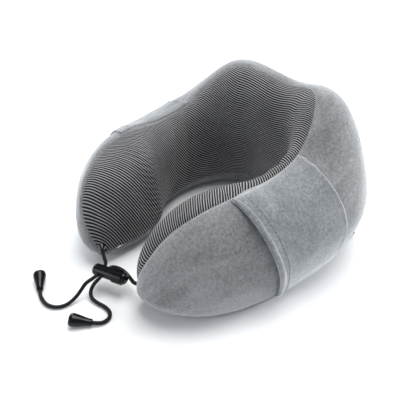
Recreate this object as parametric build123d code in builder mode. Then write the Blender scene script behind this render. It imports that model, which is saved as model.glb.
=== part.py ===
from build123d import *
import os
from math import ceil, cos, hypot, pi, radians, sin, tan

# U-shaped travel neck pillow: a memory-foam core in an inner bag and a zipped cover of three
# panels, with a pocket on each arm and a drawcord with a sprung cord lock between the arms.
# Millimetres and degrees. +Z is up and z = 0 is the face that the pillow rests on. The opening
# faces -Y, the raised back is at +Y, and X = 0 is the plane between the arms.

os.makedirs("parts", exist_ok=True)

# ---------------------------------------------------------------- centre line of the horseshoe
BACK_Y = 94.4                      # where the centre line crosses the Y axis at the back
SPINE_RADII = [96.0, 148.0, 110.0]  # back, side and front arcs of one arm, joined smoothly
SPINE_TURNS = [69.0, 42.0, 45.0]
END_CROWDING = 1.7                 # stations crowd towards the nose by this power

# ---------------------------------------------------------------- cross-section
# Values at nine stations, evenly spaced from the middle of the back (first) to the nose (last).
HEIGHT = [142, 152, 116, 106, 108, 104, 94, 71, 27]           # top of the ridge
RIDGE_OUT = [6, 7, -9, -15, -14, -12, -9, -2, 0]              # ridge, outwards of the centre line
OUTER_HALF = [50, 50, 50, 34, 29, 29, 24, 16, 4.5]            # widest point, outwards
OUTER_RISE = [60, 60, 60, 56, 44, 32, 27, 25, 20]             # and its height
INNER_HALF = [29, 30, 33, 40, 50, 56, 46, 27, 4]              # widest point, inwards
INNER_RISE = [76, 75, 66, 53, 42, 32, 25, 21, 20]             # and its height
BASE_RISE = [0, 0, 0, 0, 0, 1, 4, 8, 13]                      # flat underside
BASE_OUT = [14, 14, 14, 14, 14, 12, 9, 5, 1]                  # its outer and inner edges
BASE_IN = [4, 5, 10, 16, 20, 21, 17, 10, 1]
# Superellipse power of each quarter of the section, at the back and at the nose.
POWER_OUTER_TOP = (1.75, 2.25)
POWER_OUTER_LOW = (1.6, 1.6)
POWER_INNER_LOW = (1.7, 3.0)
POWER_INNER_TOP = (3.3, 2.7)

# ---------------------------------------------------------------- seams
# A place round the section is a "way": 0 ridge, 1 widest outside, 2 and 3 the edges of the flat
# underside, 4 widest inside, 5 the ridge again.
TOP_SEAM = [-0.06, -0.13, -0.08, -0.06, 0.0, 0.10, 0.32, 0.64, 0.70]
OUTER_BASE_SEAM = 1.67
INNER_BASE_SEAM = 3.28
SEAM_GAP = 0.004                   # between neighbouring panels, in ways

# ---------------------------------------------------------------- layers, as depths below the cover
COVER_THICK = 1.6
BASE_PANEL_END = 0.9375            # share of the arm, where it has narrowed to a point
LINER_DEPTH = 3.4
LINER_THICK = 0.6
CORE_DEPTH = 4.4
CORE_END = 0.90                    # share of the arm that foam fills
LINER_END = 0.915
LINER_NOSE_WALL = 0.006            # share of the arm that closes the liner at each nose
ANCHOR_OVALS = [(0.93, 5.5, 8.0), (1.0, 2.4, 4.6)]  # place along the arm, half width, half height

# ---------------------------------------------------------------- pockets
POCKET_LIFT = 0.4                  # gap between the cover and the pocket cloth
POCKET_THICK = 1.4
HEM_THICK = 2.6
HEM_WIDTH = 3.6
POCKET_REAR_Y = 20.4
POCKET_FRONT_Y = -45.6             # at the floor
POCKET_FRONT_LEAN = 12.5           # the front edge leans forward as it rises
POCKET_TOP_WAY = 0.06
POCKET_BASE_WAY = 1.655
POCKET_SPAN = (0.2, 0.62)          # shares of the arm that the pocket's cloth is cut from
HEM_SPAN = (0.36, 0.62)

# ---------------------------------------------------------------- zip, round the back of the base
ZIP_WAY = 1.61
ZIP_HALF_SPAN = 64.0
ZIP_CLOSED_HALF_SPAN = 62.0        # the coils between the two end stops
ZIP_HALF_GAP = 0.085               # panel edges from the zip's middle, in ways
ZIP_GAP_END = 0.23                 # share of the arm where the panel edges meet again
TAPE_HALF = 5.6
TAPE_THICK = 0.5
TAPE_DEPTH = 0.7                   # outer face of the tape below the cover's face
COIL_INNER = 0.5
COIL_OUTER = 3.0
COIL_THICK = 1.4
SLIDER_LENGTH = 11.0
SLIDER_WIDTH = 8.4
SLIDER_GAP = 0.35
PLATE_THICK = 1.0
LIP_THICK = 0.8
POST_LENGTH = 2.0                  # the slider's post, which joins its two plates
POST_INSET = 0.2
CROWN_WIDTH = 2.0
CROWN_LENGTH = 6.4
CROWN_RISE = 3.2
PIN_RADIUS = 0.8
PIN_PLAY = 0.1
PULL_LENGTH = 24.0
PULL_WIDTH = 5.8
PULL_THICK = 1.5
PULL_ARM = 1.3                     # width of the two arms beside the crown
PULL_HEEL = 1.2                    # how far they pass the pin
EYE_LENGTH = 7.5
PULL_SWING = 56.0                  # how far it lies over from straight out, towards the back
SLIDER_PARK = 59.5                 # degrees round from the middle of the back

# ---------------------------------------------------------------- cord lock and drawcord
LOCK_CENTRE = (1.0, -146.1, 19.0)
LOCK_TURN = 22.8                   # its axis, from +X towards +Y
LOCK_LEFT = -17.6                  # closed end of the barrel, along the lock's axis
BARREL_RIGHT = 8.5
BARREL_RADIUS = 5.7
BARREL_WALL = 1.2
STEM_RADIUS = 3.9
STEM_BORE = 4.0
STEM_LEFT = -13.2
SPRING_SHOULDER = 0.0
SPRING_BORE = 4.9
SPRING_RADIUS = 4.35               # to the middle of the wire
SPRING_WIRE = 0.35                 # radius of the wire
SPRING_CLEARANCE = 0.05            # at each end of the spring
SPRING_TURNS = 5
HEAD_RADIUS = 6.75
HEAD_LEFT = 4.4
HEAD_INNER = 13.0                  # inner end face of the hollow head
HEAD_SKIRT_BORE = 5.9
HEAD_RIGHT = 17.4
GRIP_RINGS = 4                     # grooves round the plunger's head
GRIP_PITCH = 1.9
GRIP_DEPTH = 0.35
PLUNGER_TRAVEL = 2.8
CORD_DIAMETER = 3.6
CORD_PLAY = 0.4
CORD_PLACES = (-10.3, -5.8)        # left and right cord, along the lock's axis

BELL_LENGTH = 20.0
BELL_WIDE = 6.0
BELL_NARROW = 3.2
PLUG_DEPTH = 3.0
PLUG_THICK = 1.2
BELL_WALL = 1.6

# ---------------------------------------------------------------- care label
LABEL_WIDTH = 14.0
LABEL_LENGTH = 16.0
LABEL_THICK = 0.6
LABEL_STATION = 0.255
LABEL_DROOP = 0.28                 # how steeply it hangs, as a slope
LABEL_CLEARANCE = 0.6

WAY_STEPS = 8                      # points per way along a section
BASE_WAY = 1.95                    # where filled pieces turn flat for the underside
FILL_STEPS = 32
STATIONS = [0, 0.03, 0.0625, 0.095, 0.125, 0.155, 0.1875, 0.225, 0.232, 0.265, 0.29, 0.3125, 0.345,
            0.375, 0.405, 0.4375, 0.47, 0.5, 0.53, 0.5625, 0.595, 0.625, 0.6875, 0.75, 0.8125, 0.875,
            0.9375, 1.0]


# ---------------------------------------------------------------- the pillow's shape
def blend(values, station):
    """A smooth curve through values that are evenly spaced over 0 to 1."""
    last = len(values) - 1
    place = min(max(station, 0.0), 1.0) * last
    first = min(int(place), last - 1)
    f = place - first
    padded = [values[1], *values, 2 * values[-1] - values[-2]]
    before, start, end, after = padded[first:first + 4]
    slope_start = (end - before) / 2
    slope_end = (after - start) / 2
    return ((2 * f**3 - 3 * f**2 + 1) * start + (f**3 - 2 * f**2 + f) * slope_start
            + (3 * f**2 - 2 * f**3) * end + (f**3 - f**2) * slope_end)


def spine_at(station):
    """Place and heading, in radians, of the centre line of the +X arm."""
    turns = [radians(turn) for turn in SPINE_TURNS]
    lengths = [radius * turn for radius, turn in zip(SPINE_RADII, turns)]
    left = (1 - (1 - station) ** END_CROWDING) * sum(lengths)
    x, y, heading = 0.0, BACK_Y, 0.0
    for radius, length in zip(SPINE_RADII, lengths):
        centre_x = x + radius * sin(heading)
        centre_y = y - radius * cos(heading)
        heading -= min(left, length) / radius
        x = centre_x - radius * sin(heading)
        y = centre_y + radius * cos(heading)
        left = max(left - length, 0.0)
    return x, y, heading


def section_plane(station):
    """The section's plane: local x points outwards and local y up."""
    x, y, heading = spine_at(station)
    outwards = Vector(-sin(heading), cos(heading), 0)
    return Plane(origin=(x, y, 0), x_dir=outwards, z_dir=outwards.cross(Vector(0, 0, 1)))


def skin_point(station, way):
    """A point of the cover's outer face, in the section's plane."""
    way = way % 5
    base = blend(BASE_RISE, station)
    out, inn = blend(BASE_OUT, station), -blend(BASE_IN, station)
    if 2 <= way <= 3:
        return out + (inn - out) * (way - 2), base
    outside, high = way < 2, way < 1 or way > 4
    quarter = {(True, True): POWER_OUTER_TOP, (True, False): POWER_OUTER_LOW,
               (False, False): POWER_INNER_LOW, (False, True): POWER_INNER_TOP}[outside, high]
    power = quarter[0] + (quarter[1] - quarter[0]) * station
    turn = way * pi / 2 if outside else (way - 1) * pi / 2
    wide = blend(OUTER_HALF, station) if outside else -blend(INNER_HALF, station)
    middle = blend(RIDGE_OUT, station) if high else (out if outside else inn)
    rise = blend(OUTER_RISE if outside else INNER_RISE, station)
    end = blend(HEIGHT, station) if high else base
    across = abs(sin(turn)) ** (2 / power)
    along = abs(cos(turn)) ** (2 / power)
    return middle + (wide - middle) * across, rise + (end - rise) * along


def skin_normal(station, way):
    """Outward direction of the cover, in the section's plane, eased over its edges."""
    step = 0.06
    ahead, behind = skin_point(station, way + step), skin_point(station, way - step)
    du, dz = ahead[0] - behind[0], ahead[1] - behind[1]
    size = hypot(du, dz)
    return -dz / size, du / size


def layer_point(station, way, depth):
    """A point that lies the given depth below the cover's outer face."""
    u, z = skin_point(station, way)
    normal_u, normal_z = skin_normal(station, way)
    return u - depth * normal_u, z - depth * normal_z


def layer_row(station, way_from, way_to, depth, count):
    """Points from one way to another, at a depth below the cover's outer face."""
    ways = [way_from + (way_to - way_from) * step / count for step in range(count + 1)]
    return [layer_point(station, way, depth) for way in ways]


def finish(part, name):
    """Name the piece and write it."""
    part.label = name
    export_step(part, f"parts/{name}.step")
    return part


def stations_between(first, last):
    return [first, *[s for s in STATIONS if first < s < last], last]


# ---------------------------------------------------------------- layers of cloth and foam
def sheet(way_from, way_to, top_depth, under_depth, stations=STATIONS, both_arms=True):
    """A sheet between two ways of the section, lofted along the arm."""
    count = ceil((way_to(0.5) - way_from(0.5)) * WAY_STEPS)
    with BuildPart() as layer:
        for station in stations:
            start, end = way_from(station), way_to(station)
            with BuildSketch(section_plane(station)):
                with BuildLine():
                    top = Spline(*layer_row(station, start, end, top_depth, count))
                    under = Spline(*layer_row(station, start, end, under_depth, count))
                    Line(top @ 0, under @ 0)
                    Line(top @ 1, under @ 1)
                make_face()
        loft(ruled=True)
        if both_arms:
            mirror(about=Plane.YZ)
    return layer.part


def filled(depth, last_station):
    """The whole inside of the cover below a depth, as one solid."""
    with BuildPart() as inside:
        for station in stations_between(0, last_station):
            with BuildSketch(section_plane(station)):
                with BuildLine():
                    over = Spline(*layer_row(station, -BASE_WAY, BASE_WAY, depth, FILL_STEPS))
                    Line(over @ 1, over @ 0)
                make_face()
        loft(ruled=True)
        mirror(about=Plane.YZ)
    return inside.part


def panel_edge_by_zip(side):
    """Edge of a panel beside the zip, which opens a gap for the tapes round the back."""
    def edge(station):
        plain = OUTER_BASE_SEAM + side * SEAM_GAP / 2
        return ZIP_WAY + side * ZIP_HALF_GAP if station < ZIP_GAP_END else plain
    return edge


def make_cover():
    finish(sheet(lambda s: blend(TOP_SEAM, s) + SEAM_GAP / 2, panel_edge_by_zip(-1), 0, COVER_THICK),
           "outer_panel")
    finish(sheet(lambda s: INNER_BASE_SEAM + SEAM_GAP / 2, lambda s: 5 + blend(TOP_SEAM, s) - SEAM_GAP / 2,
                 0, COVER_THICK), "inner_panel")
    finish(sheet(panel_edge_by_zip(1), lambda s: INNER_BASE_SEAM - SEAM_GAP / 2, 0, COVER_THICK,
                 stations_between(0, BASE_PANEL_END)), "base_panel")


def make_filling():
    finish(filled(CORE_DEPTH, CORE_END), "foam_core")
    outer = filled(LINER_DEPTH, LINER_END)
    inner = filled(LINER_DEPTH + LINER_THICK, LINER_END - LINER_NOSE_WALL)
    with BuildPart() as core_liner:
        add(outer)
        add(inner, mode=Mode.SUBTRACT)
    finish(core_liner.part, "core_liner")


def make_pockets():
    """Band of cloth over each arm, open towards the nose, with a folded hem on that edge."""
    lean = radians(POCKET_FRONT_LEAN)
    ahead = Vector(0, -cos(lean), -sin(lean))
    front = Plane(origin=(0, POCKET_FRONT_Y, 0), x_dir=(1, 0, 0), z_dir=ahead)
    behind_hem = front.offset(-HEM_WIDTH)
    rear = Plane(origin=(0, POCKET_REAR_Y, 0), x_dir=(1, 0, 0), z_dir=(0, 1, 0))
    band = sheet(lambda s: POCKET_TOP_WAY, lambda s: POCKET_BASE_WAY, -POCKET_LIFT - POCKET_THICK,
                 -POCKET_LIFT, stations_between(*POCKET_SPAN), both_arms=False)
    rim = sheet(lambda s: POCKET_TOP_WAY, lambda s: POCKET_BASE_WAY, -POCKET_LIFT - HEM_THICK,
                -POCKET_LIFT, stations_between(*HEM_SPAN), both_arms=False)
    with BuildPart() as pocket_panel:
        add(band)
        split(bisect_by=rear, keep=Keep.BOTTOM)
        split(bisect_by=behind_hem, keep=Keep.BOTTOM)
    with BuildPart() as pocket_hem:
        add(rim)
        split(bisect_by=front, keep=Keep.BOTTOM)
        split(bisect_by=behind_hem, keep=Keep.TOP)
    for piece, name in ((pocket_panel.part, "pocket_panel"), (pocket_hem.part, "pocket_hem")):
        finish(piece, f"{name}_right")
        finish(mirror(piece, about=Plane.YZ), f"{name}_left")


def make_cord_anchors():
    """Oval block inside each nose that the drawcord is sewn to."""
    nose_rise = (HEIGHT[-1] + BASE_RISE[-1]) / 2
    with BuildPart() as anchor:
        for station, half_width, half_height in ANCHOR_OVALS:
            with BuildSketch(section_plane(station)):
                with Locations((0, nose_rise)):
                    Ellipse(half_width, half_height)
        loft(ruled=True)
    finish(anchor.part, "cord_anchor_right")
    finish(mirror(anchor.part, about=Plane.YZ), "cord_anchor_left")


# ---------------------------------------------------------------- zip
ZIP_CENTRE_Y = BACK_Y - SPINE_RADII[0]
ZIP_AXIS = Axis((0, ZIP_CENTRE_Y, 0), (0, 0, 1))
zip_u, ZIP_RISE = skin_point(0.0, ZIP_WAY)
ZIP_RADIUS = SPINE_RADII[0] + zip_u
ZIP_NORMAL = skin_normal(0.0, ZIP_WAY)


def zip_plane(turn):
    """Across the zip at an angle from the middle of the back, positive towards the +X arm.

    Local x runs up the tape and local y out of the cover."""
    around = radians(90 - turn)
    radial = Vector(cos(around), sin(around), 0)
    up = Vector(0, 0, 1)
    normal = radial * ZIP_NORMAL[0] + up * ZIP_NORMAL[1]
    up_tape = up * ZIP_NORMAL[0] - radial * ZIP_NORMAL[1]
    origin = radial * ZIP_RADIUS + Vector(0, ZIP_CENTRE_Y, ZIP_RISE)
    return Plane(origin=origin, x_dir=up_tape, z_dir=up_tape.cross(normal))


def zip_ring(low, high, inner, outer, half_span):
    """Strip that follows the zip: low to high up the tape, inner to outer through its thickness."""
    with BuildPart() as ring:
        with BuildSketch(zip_plane(half_span)):
            with Locations(((low + high) / 2, (inner + outer) / 2)):
                Rectangle(high - low, outer - inner)
        revolve(axis=ZIP_AXIS, revolution_arc=2 * half_span)
    return ring.part


def make_zip_rows():
    tape_face = -TAPE_DEPTH
    for name, side in (("upper", 1), ("lower", -1)):
        tape = sorted((side * COIL_INNER, side * TAPE_HALF))
        coil = sorted((side * COIL_INNER, side * COIL_OUTER))
        finish(zip_ring(*tape, tape_face - TAPE_THICK, tape_face, ZIP_HALF_SPAN), f"zip_tape_{name}")
        finish(zip_ring(*coil, tape_face, tape_face + COIL_THICK, ZIP_CLOSED_HALF_SPAN),
               f"zip_coil_{name}")


def make_zip_stops():
    """Metal stop across both coils at each end of the zip."""
    middle = (ZIP_CLOSED_HALF_SPAN + ZIP_HALF_SPAN) / 2
    length = ZIP_RADIUS * radians(ZIP_HALF_SPAN - ZIP_CLOSED_HALF_SPAN) * 0.8
    for name, turn in (("right", middle), ("left", -middle)):
        with BuildPart() as stop:
            with BuildSketch(zip_plane(turn)):
                with Locations((0, -TAPE_DEPTH + COIL_THICK / 2)):
                    RectangleRounded(2 * COIL_OUTER, COIL_THICK, 0.5)
            extrude(amount=length / 2, both=True)
        finish(stop.part, f"zip_stop_{name}")


def make_slider():
    """Slider body: two plates, lips beside the coils, a post at one end and the crown on top."""
    across = zip_plane(SLIDER_PARK)
    coil_top = -TAPE_DEPTH + COIL_THICK
    top = coil_top + SLIDER_GAP
    under = -TAPE_DEPTH - TAPE_THICK - SLIDER_GAP
    lip_base = -TAPE_DEPTH + SLIDER_GAP
    half = SLIDER_LENGTH / 2
    crown_base = top + PLATE_THICK
    along = Plane(origin=across.origin, x_dir=across.z_dir, z_dir=across.x_dir)
    pin_place = along.origin - along.y_dir * (crown_base + CROWN_RISE / 2)
    with BuildPart() as zip_slider:
        with BuildSketch(across):
            with Locations((0, top + PLATE_THICK / 2)):
                RectangleRounded(SLIDER_WIDTH, PLATE_THICK, 0.45)
            with Locations((0, under - PLATE_THICK / 2 + 0.1)):
                RectangleRounded(SLIDER_WIDTH - 1.0, PLATE_THICK - 0.2, 0.35)
            for side in (1, -1):
                with Locations((side * (SLIDER_WIDTH - LIP_THICK) / 2, (lip_base + top + 0.5) / 2)):
                    Rectangle(LIP_THICK, top + 0.5 - lip_base)
        extrude(amount=half, both=True)
        with BuildSketch(across.offset(-half + POST_INSET)):
            with Locations((0, (top + under) / 2)):
                Rectangle(2 * COIL_INNER - 0.4, top - under + 0.4)
        extrude(amount=POST_LENGTH)
        with BuildSketch(across.offset(-CROWN_LENGTH / 2)):
            with Locations((0, crown_base + CROWN_RISE / 2 - 0.1)):
                Rectangle(CROWN_WIDTH, CROWN_RISE + 0.2)
        extrude(amount=CROWN_LENGTH)
        with BuildSketch(Plane(origin=pin_point(), x_dir=across.z_dir, z_dir=across.x_dir)):
            Circle(PIN_RADIUS + PIN_PLAY)
        extrude(amount=SLIDER_WIDTH, both=True, mode=Mode.SUBTRACT)
    finish(zip_slider.part, "zip_slider")


def pin_point():
    """Middle of the pin that the pull swings on."""
    across = zip_plane(SLIDER_PARK)
    rise = -TAPE_DEPTH + COIL_THICK + SLIDER_GAP + PLATE_THICK + CROWN_RISE / 2
    return across.origin + across.y_dir * rise


def make_pull():
    """Pull with an eye, whose pin passes through the slider's crown."""
    across = zip_plane(SLIDER_PARK)
    swing = radians(PULL_SWING)
    reach = across.y_dir * cos(swing) + across.z_dir * sin(swing)
    flat = Plane(origin=pin_point(), x_dir=reach, z_dir=across.x_dir.cross(reach) * -1)
    half, waist = PULL_WIDTH / 2, PULL_WIDTH / 2 - PULL_ARM
    with BuildPart() as zip_pull:
        with BuildSketch(flat):
            with BuildLine():
                Polyline((-PULL_HEEL, half), (EYE_LENGTH, half), (EYE_LENGTH + 2.5, waist),
                         (PULL_LENGTH - 7, waist), (PULL_LENGTH - 4, half - 0.4), (PULL_LENGTH, half - 1),
                         (PULL_LENGTH, 1 - half), (PULL_LENGTH - 4, 0.4 - half), (PULL_LENGTH - 7, -waist),
                         (EYE_LENGTH + 2.5, -waist), (EYE_LENGTH, -half), (-PULL_HEEL, -half),
                         (-PULL_HEEL, -waist), (EYE_LENGTH - 0.8, -waist), (EYE_LENGTH - 0.8, waist),
                         (-PULL_HEEL, waist), close=True)
            make_face()
        extrude(amount=PULL_THICK / 2, both=True)
        with BuildSketch(Plane(origin=pin_point(), x_dir=reach, z_dir=across.x_dir)):
            Circle(PIN_RADIUS)
        extrude(amount=half - 0.3, both=True)
    finish(zip_pull.part, "zip_pull")


# ---------------------------------------------------------------- cord lock
LOCK_AXIS = Vector(cos(radians(LOCK_TURN)), sin(radians(LOCK_TURN)), 0)
LOCK_BACK = Vector(-LOCK_AXIS.Y, LOCK_AXIS.X, 0)
LOCK_SECTION = Plane(origin=LOCK_CENTRE, x_dir=LOCK_AXIS, z_dir=LOCK_BACK * -1)
LOCK_TURN_AXIS = Axis(LOCK_CENTRE, LOCK_AXIS)
CORD_MIDDLE = sum(CORD_PLACES) / 2
SLOT_HEIGHT = CORD_DIAMETER + CORD_PLAY
SLOT_LENGTH = CORD_PLACES[1] - CORD_PLACES[0] + SLOT_HEIGHT


def lock_point(along, back, rise):
    """A point from the cord lock's centre, as a tuple."""
    place = Vector(*LOCK_CENTRE) + LOCK_AXIS * along + LOCK_BACK * back + Vector(0, 0, rise)
    return tuple(place)


def turned(outline):
    """A turned piece of the cord lock, from half its section."""
    with BuildPart() as piece:
        with BuildSketch(LOCK_SECTION):
            with BuildLine():
                Polyline(*outline, close=True)
            make_face()
        revolve(axis=LOCK_TURN_AXIS)
    return piece.part


def make_cord_lock():
    cavity = LOCK_LEFT + BARREL_WALL
    barrel_outline = [
        (LOCK_LEFT, 0), (LOCK_LEFT, BARREL_RADIUS - 2.2), (LOCK_LEFT + 0.7, BARREL_RADIUS - 0.7),
        (LOCK_LEFT + 2.2, BARREL_RADIUS), (BARREL_RIGHT, BARREL_RADIUS), (BARREL_RIGHT, SPRING_BORE),
        (SPRING_SHOULDER, SPRING_BORE), (SPRING_SHOULDER, STEM_BORE), (cavity, STEM_BORE), (cavity, 0)]
    with BuildPart() as barrel:
        add(turned(barrel_outline))
        with BuildSketch(Plane(origin=lock_point(CORD_MIDDLE, 0, 0), x_dir=LOCK_AXIS,
                               z_dir=LOCK_BACK * -1)):
            SlotOverall(SLOT_LENGTH, SLOT_HEIGHT)
        extrude(amount=BARREL_RADIUS * 2, both=True, mode=Mode.SUBTRACT)
    finish(barrel.part, "cord_lock_barrel")

    head_wall = HEAD_RADIUS - HEAD_SKIRT_BORE
    plunger_outline = [
        (STEM_LEFT, 0), (STEM_LEFT, STEM_RADIUS), (HEAD_INNER, STEM_RADIUS),
        (HEAD_INNER, HEAD_SKIRT_BORE), (HEAD_LEFT, HEAD_SKIRT_BORE),
        (HEAD_LEFT, HEAD_RADIUS), (HEAD_RIGHT - 3.4, HEAD_RADIUS), (HEAD_RIGHT - 3.0, HEAD_RADIUS - 1.2),
        (HEAD_RIGHT - 0.8, HEAD_RADIUS - 1.6), (HEAD_RIGHT, HEAD_RADIUS - 2.8), (HEAD_RIGHT, 0)]
    with BuildPart() as plunger:
        add(turned(plunger_outline))
        for ring in range(GRIP_RINGS):
            along = HEAD_LEFT + GRIP_PITCH * (ring + 0.8)
            add(turned([(along, HEAD_RADIUS - GRIP_DEPTH), (along, HEAD_RADIUS + 1),
                        (along + head_wall * 0.8, HEAD_RADIUS + 1),
                        (along + head_wall * 0.8, HEAD_RADIUS - GRIP_DEPTH)]), mode=Mode.SUBTRACT)
        slot_middle = CORD_MIDDLE + PLUNGER_TRAVEL / 2
        with BuildSketch(Plane(origin=lock_point(slot_middle, 0, 0), x_dir=LOCK_AXIS,
                               z_dir=LOCK_BACK * -1)):
            SlotOverall(SLOT_LENGTH + PLUNGER_TRAVEL, SLOT_HEIGHT)
        extrude(amount=STEM_RADIUS * 2, both=True, mode=Mode.SUBTRACT)
    finish(plunger.part, "cord_lock_plunger")

    length = HEAD_INNER - SPRING_SHOULDER - 2 * (SPRING_WIRE + SPRING_CLEARANCE)
    start = lock_point(SPRING_SHOULDER + SPRING_WIRE + SPRING_CLEARANCE, 0, 0)
    with BuildPart() as spring:
        with BuildLine():
            coil = Helix(pitch=length / SPRING_TURNS, height=length, radius=SPRING_RADIUS,
                         center=start, direction=LOCK_AXIS)
        with BuildSketch(Plane(origin=coil @ 0, z_dir=coil % 0)):
            Circle(SPRING_WIRE)
        sweep(is_frenet=True)
    finish(spring.part, "cord_lock_spring")


# ---------------------------------------------------------------- drawcord and its ends
NOSE = section_plane(1.0)
NOSE_MIDDLE = Vector(*NOSE.origin) + Vector(0, 0, (HEIGHT[-1] + BASE_RISE[-1]) / 2)

# Routes from the nose, through the cord lock, down to the floor and into the end bell.
LEFT_ROUTE = [
    (-NOSE_MIDDLE.X, NOSE_MIDDLE.Y, NOSE_MIDDLE.Z),
    (-26.7, -136.4, 19.6),
    (-21.3, -138.6, 18.4),
    lock_point(CORD_PLACES[0], 8.8, 0),
    lock_point(CORD_PLACES[0], -9.4, 0),
    (-9.2, -166.8, 14.4),
    (-8.2, -173.2, 9.6),
    (-7.8, -179.6, 5.4),
    (-7.8, -186.4, 2.8),
    (-9.6, -193.4, 1.9),
    (-14.2, -199.2, 1.9),
    (-21.4, -202.4, 1.9),
    (-29.6, -202.4, 2.0),
    (-36.4, -201.1, 2.5),
    (-41.5, -198.5, 3.4),
]
RIGHT_ROUTE = [
    (NOSE_MIDDLE.X, NOSE_MIDDLE.Y, NOSE_MIDDLE.Z),
    lock_point(28.2, -1.2, 0.2),
    lock_point(23.6, 1.6, -2.8),
    lock_point(18.0, 6.4, -5.6),
    lock_point(11.0, 10.8, -5.8),
    lock_point(3.0, 12.2, -2.8),
    lock_point(CORD_PLACES[1], 9.0, 0),
    lock_point(CORD_PLACES[1], -9.4, 0),
    (-4.6, -162.4, 11.8),
    (-3.4, -167.0, 6.0),
    (2.0, -168.8, 3.0),
    (9.8, -167.0, 2.1),
    (17.6, -164.6, 1.9),
    (24.8, -164.4, 1.9),
    (30.4, -167.4, 1.9),
    (32.6, -173.2, 2.0),
    (31.0, -179.2, 2.4),
    (26.6, -183.4, 3.35),
]


def cord_tube(route, name):
    """Round cord: straight runs joined by arcs as large as the runs allow."""
    points = [Vector(*point) for point in route]
    radii = []
    for before, corner, after in zip(points, points[1:], points[2:]):
        turn = radians((corner - before).get_angle(after - corner))
        shorter = min((corner - before).length, (after - corner).length)
        radii.append(0.45 * shorter / tan(turn / 2))
    with BuildPart() as cord:
        with BuildLine():
            path = FilletPolyline(*points, radius=radii)
        with BuildSketch(Plane(origin=path @ 0, z_dir=path % 0)):
            Circle(CORD_DIAMETER / 2)
        sweep()
    section = pi * CORD_DIAMETER**2 / 4
    print(f"{name}: length {path.length:.1f}, volume {cord.part.volume:.0f} of"
          f" {section * path.length:.0f}, radii", [round(radius, 1) for radius in radii])
    return finish(cord.part, name)


def make_bell(route, side):
    """Hollow bell in line with the cord's end, and the plug that closes its wide end."""
    start = Vector(*route[-1])
    axis = (start - Vector(*route[-2])).normalized()
    section = Plane(origin=start, x_dir=axis, z_dir=axis.cross(Vector(0, 0, 1)))
    cavity = BELL_WIDE - BELL_WALL
    with BuildPart() as bell:
        with BuildSketch(section):
            with BuildLine():
                Line((0, 0), (0, BELL_NARROW - 0.4))
                Line((0, BELL_NARROW - 0.4), (0.4, BELL_NARROW))
                Spline((0.4, BELL_NARROW), (6.5, BELL_NARROW + 0.7), (12.5, BELL_WIDE - 0.7),
                       (17.0, BELL_WIDE))
                Line((17.0, BELL_WIDE), (BELL_LENGTH - PLUG_THICK, BELL_WIDE - 0.25))
                Polyline((BELL_LENGTH - PLUG_THICK, BELL_WIDE - 0.25), (BELL_LENGTH - PLUG_THICK, cavity),
                         (12.0, cavity), (9.0, 2.0), (9.0, 0), (0, 0))
            make_face()
        revolve(axis=Axis(start, axis))
    finish(bell.part, f"cord_end_bell_{side}")
    with BuildPart() as plug:
        with BuildSketch(section):
            with BuildLine():
                base = BELL_LENGTH - PLUG_THICK
                Polyline((base - PLUG_DEPTH, 0), (base - PLUG_DEPTH, cavity - 0.1), (base, cavity - 0.1),
                         (base, BELL_WIDE - 0.4), (BELL_LENGTH - 0.4, BELL_WIDE - 0.7),
                         (BELL_LENGTH, BELL_WIDE - 1.4), (BELL_LENGTH, 0), close=True)
            make_face()
        revolve(axis=Axis(start, axis))
    finish(plug.part, f"cord_end_plug_{side}")


def make_drawcord():
    for side, route in (("left", LEFT_ROUTE), ("right", RIGHT_ROUTE)):
        cord_tube(route, f"drawcord_{side}")
        make_bell(route, side)


def make_care_label():
    """Blank folded label sewn into the base seam beside the zip, at the back of the left arm."""
    plane = section_plane(LABEL_STATION)
    u, z = skin_point(LABEL_STATION, OUTER_BASE_SEAM)
    root = plane.from_local_coords((u + LABEL_CLEARANCE, z - LABEL_CLEARANCE, 0))
    outwards = (plane.x_dir - Vector(0, 0, LABEL_DROOP)).normalized()
    flat = Plane(origin=root, x_dir=outwards, z_dir=plane.z_dir.cross(outwards))
    with BuildPart() as label:
        with BuildSketch(flat):
            with Locations((LABEL_LENGTH / 2, 0)):
                Rectangle(LABEL_LENGTH, LABEL_WIDTH)
        extrude(amount=LABEL_THICK / 2, both=True)
    finish(mirror(label.part, about=Plane.YZ), "care_label")


make_filling()
make_cover()
make_pockets()
make_cord_anchors()
make_zip_rows()
make_zip_stops()
make_slider()
make_pull()
make_cord_lock()
make_drawcord()
make_care_label()
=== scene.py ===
import bpy
from math import cos, exp, hypot, log, pi, radians, sin
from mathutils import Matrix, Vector, noise


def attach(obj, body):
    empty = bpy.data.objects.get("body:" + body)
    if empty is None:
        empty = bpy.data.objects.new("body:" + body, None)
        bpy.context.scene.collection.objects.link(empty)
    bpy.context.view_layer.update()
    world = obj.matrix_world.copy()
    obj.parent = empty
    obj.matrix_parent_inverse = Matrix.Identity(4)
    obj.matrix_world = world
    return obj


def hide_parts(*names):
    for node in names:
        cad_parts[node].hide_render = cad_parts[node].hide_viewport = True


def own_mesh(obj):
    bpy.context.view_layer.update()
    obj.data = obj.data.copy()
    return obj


# U-shaped travel neck pillow in a velour cover with a ribbed inner face.
# Blender's lengths are metres. The pillow's shape, the zip, the lock's spring and the points of the
# cords' routes are written in millimetres, and MM turns them into metres as each mesh is made.

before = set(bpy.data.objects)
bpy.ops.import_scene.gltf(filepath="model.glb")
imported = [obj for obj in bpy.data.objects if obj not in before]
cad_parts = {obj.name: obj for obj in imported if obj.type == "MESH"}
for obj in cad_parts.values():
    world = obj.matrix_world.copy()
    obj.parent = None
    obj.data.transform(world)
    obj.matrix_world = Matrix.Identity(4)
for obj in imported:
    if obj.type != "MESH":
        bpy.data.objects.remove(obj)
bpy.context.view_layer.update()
MM = 0.001
scene = bpy.context.scene

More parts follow.
